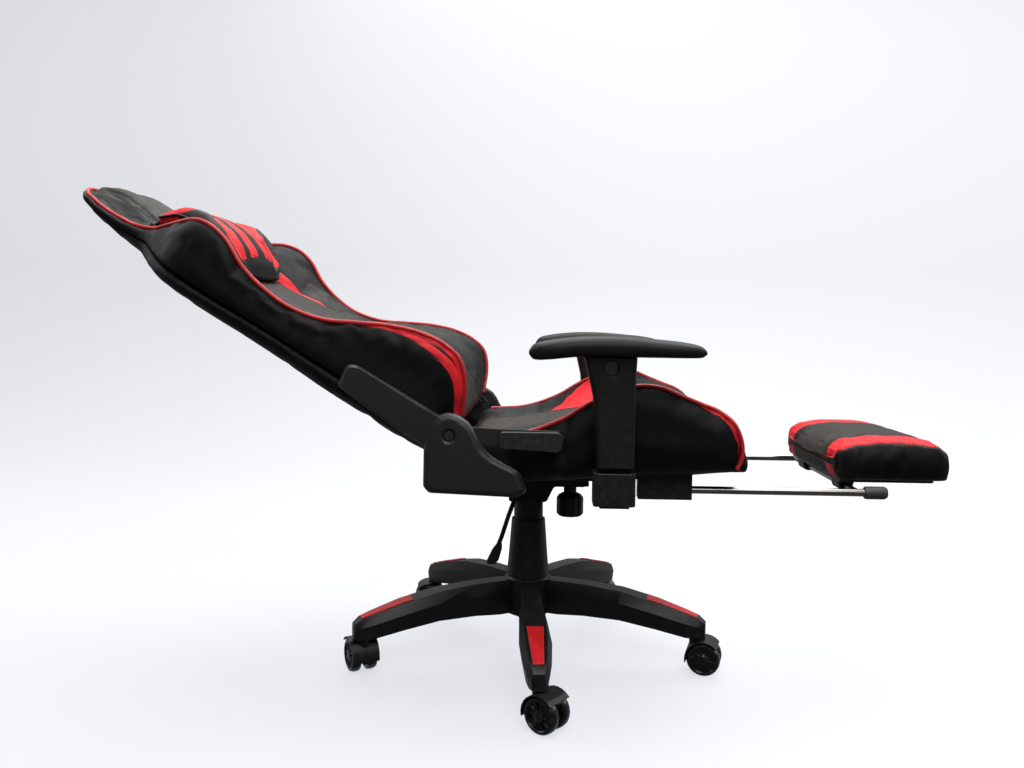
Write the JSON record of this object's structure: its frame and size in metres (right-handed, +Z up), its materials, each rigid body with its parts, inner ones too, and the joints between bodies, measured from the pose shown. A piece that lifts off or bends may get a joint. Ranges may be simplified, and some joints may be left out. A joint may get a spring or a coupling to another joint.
{
  "type": "gaming chair",
  "caption": "Racing-style gaming chair with a reclining back, head pillow, height-adjustable armrests, pull-out footrest and five-star caster base.",
  "frame": {"origin": "On the floor, under the middle of the bounding box of the reclined chair with its footrest out", "axes": "+Z up, -Y the way the sitter faces, +X the sitter's left"},
  "size_m": [0.6986, 1.512, 0.8707],
  "materials": {
    "nylon": "satin black moulded nylon",
    "plastic": "matte charcoal moulded plastic",
    "tyre": "satin black wheels",
    "arm_pad": "soft-touch black polyurethane",
    "cap": "dark grey moulded plastic",
    "chrome": "polished steel",
    "steel_black": "black powder-coated steel",
    "leather": "black and red upholstery leather",
    "red_trim": "satin red plastic",
    "webbing": "woven elastic"
  },
  "bodies": {
    "base": {"base_star": "nylon", "gas_cylinder": "steel_black", "cover_lower": "plastic", "base_inlay_1": "red_trim", "base_inlay_2": "red_trim", "base_inlay_3": "red_trim", "base_inlay_4": "red_trim", "base_inlay_5": "red_trim"},
    "lift": {"gas_piston": "chrome", "cover_upper": "plastic"},
    "mechanism": {"mech_housing": "steel_black"},
    "knob": {"tension_knob": "plastic"},
    "seat": {"mech_plate": "steel_black", "seat_pan": "plastic", "seat_cushion": "leather", "hinge_cover_right": "plastic", "hinge_cover_left": "plastic", "recliner_pin_right": "chrome", "recliner_pin_left": "chrome", "arm_bracket_right": "steel_black", "arm_bracket_left": "steel_black", "arm_cup_right": "plastic", "arm_cup_left": "plastic", "slide_block_right": "plastic", "slide_block_left": "plastic"},
    "height_lever": {"height_lever": "steel_black"},
    "recline_lever": {"recline_lever": "plastic"},
    "back": {"back_frame": "steel_black", "back_cushion": "leather", "back_panel": "leather", "head_pillow": "leather", "pillow_strap": "webbing", "back_cover_right": "plastic", "back_cover_left": "plastic", "hole_bezel_right": "plastic", "hole_bezel_left": "plastic"},
    "footrest_rods": {"footrest_rods": "chrome", "rod_cap_right": "cap", "rod_cap_left": "cap"},
    "footrest_pad": {"footrest_board": "plastic", "footrest_pad": "leather"},
    "caster_1": {"caster_fork_1": "nylon"},
    "wheels_1": {"caster_wheels_1": "tyre"},
    "caster_2": {"caster_fork_2": "nylon"},
    "wheels_2": {"caster_wheels_2": "tyre"},
    "caster_3": {"caster_fork_3": "nylon"},
    "wheels_3": {"caster_wheels_3": "tyre"},
    "caster_4": {"caster_fork_4": "nylon"},
    "wheels_4": {"caster_wheels_4": "tyre"},
    "caster_5": {"caster_fork_5": "nylon"},
    "wheels_5": {"caster_wheels_5": "tyre"},
    "arm_right": {"arm_post_right": "plastic", "arm_pad_right": "arm_pad"},
    "arm_button_right": {"arm_button_right": "plastic"},
    "arm_left": {"arm_post_left": "plastic", "arm_pad_left": "arm_pad"},
    "arm_button_left": {"arm_button_left": "plastic"}
  },
  "joints": [
    {"name": "gas_lift", "type": "slide", "parent": "base", "child": "lift", "axis": [0, 0, 1], "range_m": [0, 0.075]},
    {"name": "seat_swivel", "type": "hinge", "parent": "lift", "child": "mechanism", "pos_m": [0.01032, -0.04499, 0.3], "axis": [0, 0, 1], "continuous": true},
    {"name": "tension_knob_turn", "type": "hinge", "parent": "mechanism", "child": "knob", "pos_m": [0.01032, -0.12349, 0.298], "axis": [0, 0, 1], "continuous": true},
    {"name": "seat_tilt", "type": "hinge", "parent": "mechanism", "child": "seat", "pos_m": [0.01032, -0.08999, 0.34], "axis": [-1, 0, 0], "range_deg": [0, 10], "stiffness_Nm_per_rad": 220, "springref_deg": -20.05},
    {"name": "height_lever_lift", "type": "hinge", "parent": "seat", "child": "height_lever", "pos_m": [-0.03968, -0.03899, 0.3435], "axis": [0, 1, 0], "range_deg": [0, 9], "stiffness_Nm_per_rad": 0.6, "springref_deg": -14.32},
    {"name": "recline_lever_pull", "type": "hinge", "parent": "seat", "child": "recline_lever", "pos_m": [0.01032, 0.07301, 0.455], "axis": [-1, 0, 0], "range_deg": [0, 25], "stiffness_Nm_per_rad": 1.5, "springref_deg": -17.19},
    {"name": "back_recline", "type": "hinge", "parent": "seat", "child": "back", "pos_m": [0.01032, 0.07301, 0.455], "axis": [-1, 0, 0], "range_deg": [-48, 11]},
    {"name": "arm_height_right", "type": "slide", "parent": "seat", "child": "arm_right", "axis": [0, 0, 1], "range_m": [0, 0.07]},
    {"name": "arm_button_press_right", "type": "slide", "parent": "arm_right", "child": "arm_button_right", "axis": [1, 0, 0], "range_m": [0, 0.003], "stiffness_N_per_m": 300, "springref_m": -0.003},
    {"name": "arm_height_left", "type": "slide", "parent": "seat", "child": "arm_left", "axis": [0, 0, 1], "range_m": [0, 0.07]},
    {"name": "arm_button_press_left", "type": "slide", "parent": "arm_left", "child": "arm_button_left", "axis": [-1, 0, 0], "range_m": [0, 0.003], "stiffness_N_per_m": 300, "springref_m": -0.003},
    {"name": "footrest_extend", "type": "slide", "parent": "seat", "child": "footrest_rods", "axis": [0, -1, 0], "range_m": [-0.2502, 0]},
    {"name": "footrest_flip", "type": "hinge", "parent": "footrest_rods", "child": "footrest_pad", "pos_m": [0.01032, -0.59499, 0.356], "axis": [1, 0, 0], "range_deg": [0, 180]},
    {"name": "caster_swivel_1", "type": "hinge", "parent": "base", "child": "caster_1", "pos_m": [-0.30367, -0.07025, 0.06], "axis": [0, 0, 1], "continuous": true},
    {"name": "wheel_roll_1", "type": "hinge", "parent": "caster_1", "child": "wheels_1", "pos_m": [-0.3145, -0.08463, 0.03], "axis": [0.7986, -0.6018, 0], "continuous": true},
    {"name": "caster_swivel_2", "type": "hinge", "parent": "base", "child": "caster_2", "pos_m": [-0.06268, -0.35141, 0.06], "axis": [0, 0, 1], "continuous": true},
    {"name": "wheel_roll_2", "type": "hinge", "parent": "caster_2", "child": "wheels_2", "pos_m": [-0.06765, -0.36872, 0.03], "axis": [0.9613, -0.2756, 0], "continuous": true},
    {"name": "caster_swivel_3", "type": "hinge", "parent": "base", "child": "caster_3", "pos_m": [0.27919, -0.20911, 0.06], "axis": [0, 0, 1], "continuous": true},
    {"name": "wheel_roll_3", "type": "hinge", "parent": "caster_3", "child": "wheels_3", "pos_m": [0.29356, -0.19827, 0.03], "axis": [-0.6018, 0.7986, 0], "continuous": true},
    {"name": "caster_swivel_4", "type": "hinge", "parent": "base", "child": "caster_4", "pos_m": [0.24949, 0.16001, 0.06], "axis": [0, 0, 1], "continuous": true},
    {"name": "wheel_roll_4", "type": "hinge", "parent": "caster_4", "child": "wheels_4", "pos_m": [0.24729, 0.17787, 0.03], "axis": [-0.9925, -0.1219, 0], "continuous": true},
    {"name": "caster_swivel_5", "type": "hinge", "parent": "base", "child": "caster_5", "pos_m": [-0.11074, 0.24582, 0.06], "axis": [0, 0, 1], "continuous": true},
    {"name": "wheel_roll_5", "type": "hinge", "parent": "caster_5", "child": "wheels_5", "pos_m": [-0.09515, 0.25482, 0.03], "axis": [-0.5, 0.866, 0], "continuous": true}
  ],
  "couplings": [
    {"joint": "footrest_extend", "follows": "footrest_flip", "m_per_rad": -0.079577}
  ]
}
